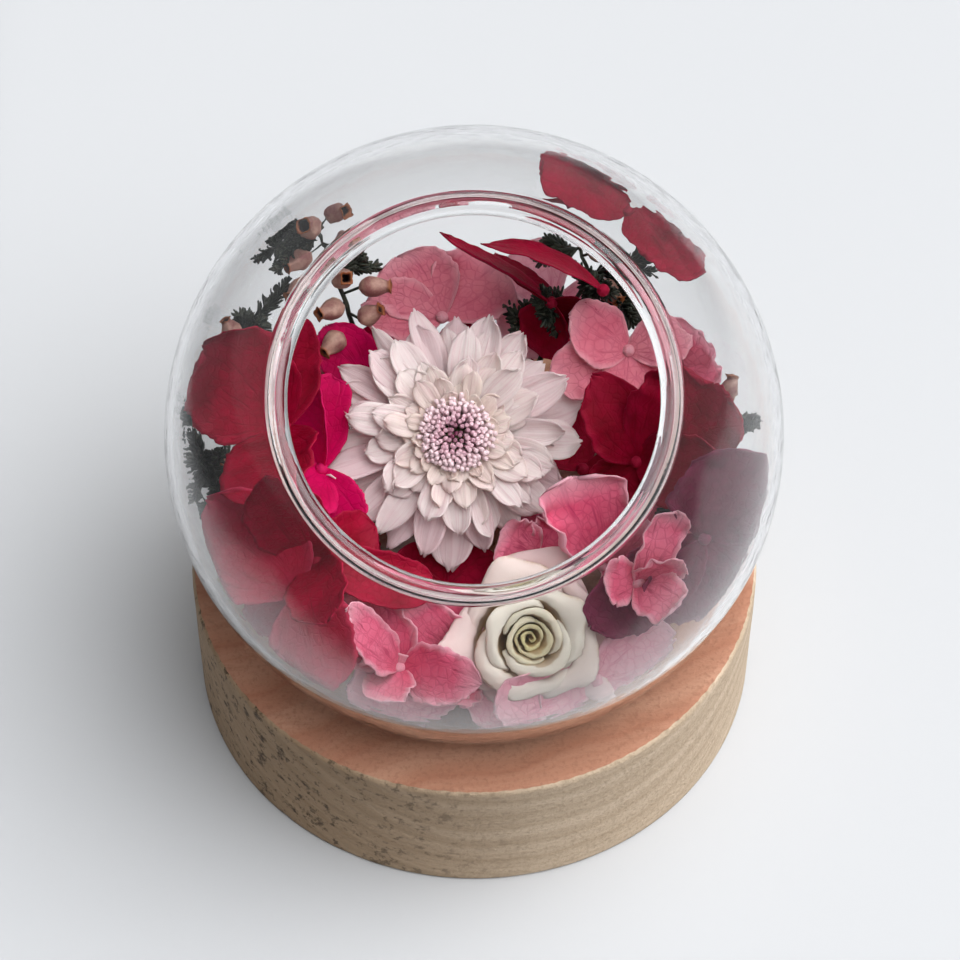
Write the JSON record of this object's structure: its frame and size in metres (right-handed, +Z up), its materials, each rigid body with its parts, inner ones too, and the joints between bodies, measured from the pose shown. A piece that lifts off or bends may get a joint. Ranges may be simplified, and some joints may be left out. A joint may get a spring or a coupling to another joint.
{
  "type": "preserved flower globe on a wood disc",
  "caption": "Clear glass globe bowl with a leaning round mouth, filled with preserved flowers and heather, on a thick round wood disc.",
  "frame": {"origin": "middle of the wood disc's underside, on the surface that it stands on", "axes": "+Z up; -Y the front, towards which the globe's mouth leans; +X to the right of someone who looks into the mouth"},
  "size_m": [0.1, 0.0995, 0.1107],
  "materials": {
    "wood": "sawn and lightly sanded",
    "clear_glass": "clear, fire-polished",
    "blush_petals": "matt, dried petal",
    "cream_petals": "matt, dried petal",
    "crimson_petals": "matt, dried petal",
    "magenta_petals": "matt, dried petal",
    "pink_petals": "matt, dried petal",
    "pale_pink_petals": "matt, dried petal",
    "soft_pink_petals": "matt, dried petal",
    "rose_petals": "matt, dried petal",
    "mauve_petals": "matt, dried petal",
    "dried_heather": "dry, matt"
  },
  "bodies": {
    "root": {"wood_base": "wood", "glass_bowl": "clear_glass", "chrysanthemum": "blush_petals", "rose": "cream_petals", "crimson_floret_right": "crimson_petals", "pink_floret_centre": "pink_petals", "pink_floret_lower_right": "pink_petals", "pink_floret_lower_left": "pink_petals", "pink_floret_lower_middle": "pink_petals", "crimson_floret_lower_left": "crimson_petals", "magenta_floret_left": "magenta_petals", "crimson_floret_left": "crimson_petals", "rose_floret_left": "rose_petals", "mauve_floret_right": "mauve_petals", "pink_floret_upper_right": "soft_pink_petals", "pink_floret_far_right": "pink_petals", "crimson_floret_blades": "crimson_petals", "crimson_petal_upper": "crimson_petals", "crimson_floret_top": "crimson_petals", "pale_floret_upper_left": "soft_pink_petals", "pale_floret_upper": "pale_pink_petals", "deep_pink_floret_upper_left": "magenta_petals", "pink_floret_frilled": "pink_petals", "crimson_floret_under_rose": "crimson_petals", "crimson_floret_behind": "crimson_petals", "pale_floret_floor_left": "pale_pink_petals", "pale_floret_floor_right": "pale_pink_petals", "crimson_floret_back": "crimson_petals", "pink_floret_back_left": "pink_petals", "crimson_floret_back_right": "crimson_petals", "pink_floret_floor_middle": "pink_petals", "crimson_floret_floor_left": "crimson_petals", "pink_floret_floor_right": "pink_petals", "heather_upper_left": "dried_heather", "heather_upper_right": "dried_heather", "heather_left": "dried_heather", "heather_right": "dried_heather"}
  },
  "joints": []
}
